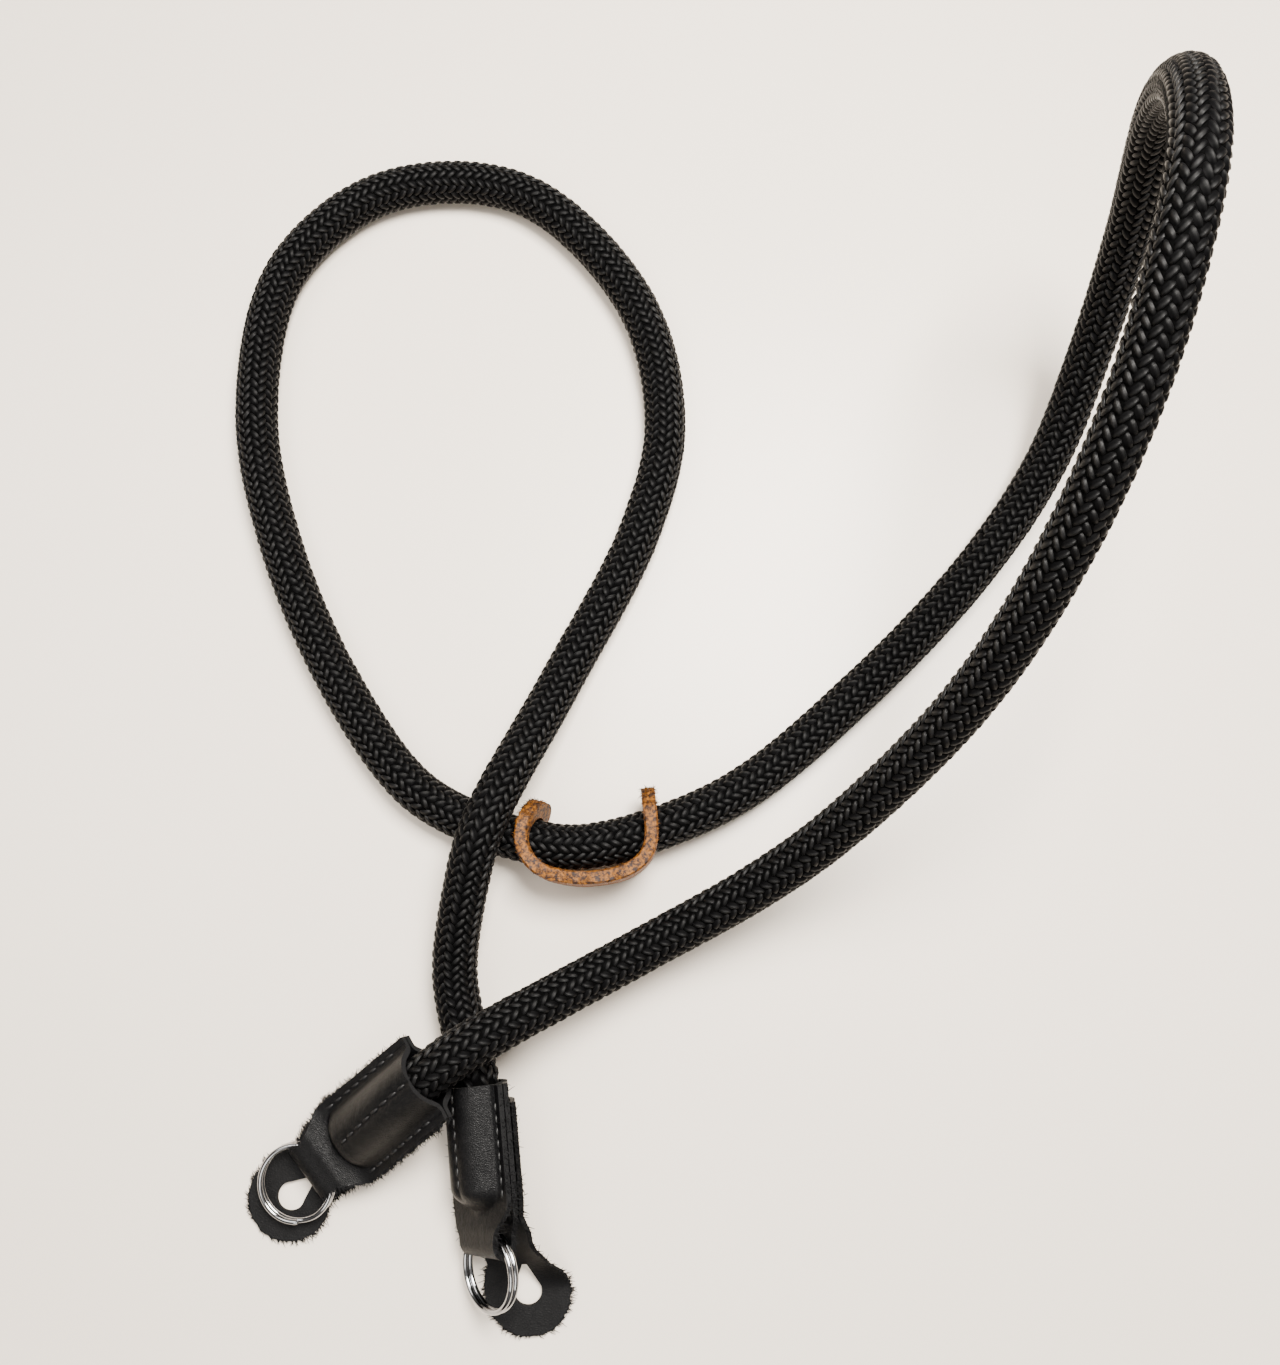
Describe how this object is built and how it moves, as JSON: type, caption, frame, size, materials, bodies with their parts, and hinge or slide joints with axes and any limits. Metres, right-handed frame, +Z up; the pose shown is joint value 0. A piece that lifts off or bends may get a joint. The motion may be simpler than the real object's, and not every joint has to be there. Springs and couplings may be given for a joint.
{
  "type": "camera neck strap",
  "caption": "Braided rope camera neck strap lying in a loop, with folded leather end tabs, split rings, leather lug guards and a sliding leather keeper.",
  "frame": {"origin": "centre of the bounding box on the table the strap lies on", "axes": "+Z up from the table, +Y away from the tabs towards the open loop, +X towards the raised bend"},
  "size_m": [0.206, 0.2724, 0.1173],
  "materials": {
    "rope": "black polyester braid, dull sheen",
    "black_leather": "black grained leather, raw cut edges",
    "ring": "polished nickel-plated spring steel",
    "tan_leather": "tan vegetable-tanned leather, raw edges"
  },
  "bodies": {
    "strap": {"rope": "rope", "tab_left": "black_leather", "tab_right": "black_leather", "guard_left": "black_leather", "guard_right": "black_leather", "keeper": "tan_leather"},
    "ring_left": {"ring_left": "ring"},
    "ring_right": {"ring_right": "ring"}
  },
  "joints": [
    {"name": "ring_left_turn", "type": "hinge", "parent": "strap", "child": "ring_left", "pos_m": [-0.07953, -0.10462, 0.00473], "axis": [-0.1106, -0.0883, 0.9899], "continuous": true},
    {"name": "ring_right_turn", "type": "hinge", "parent": "strap", "child": "ring_right", "pos_m": [-0.03723, -0.12109, 0.0094], "axis": [-0.7273, -0.0764, 0.682], "continuous": true}
  ]
}
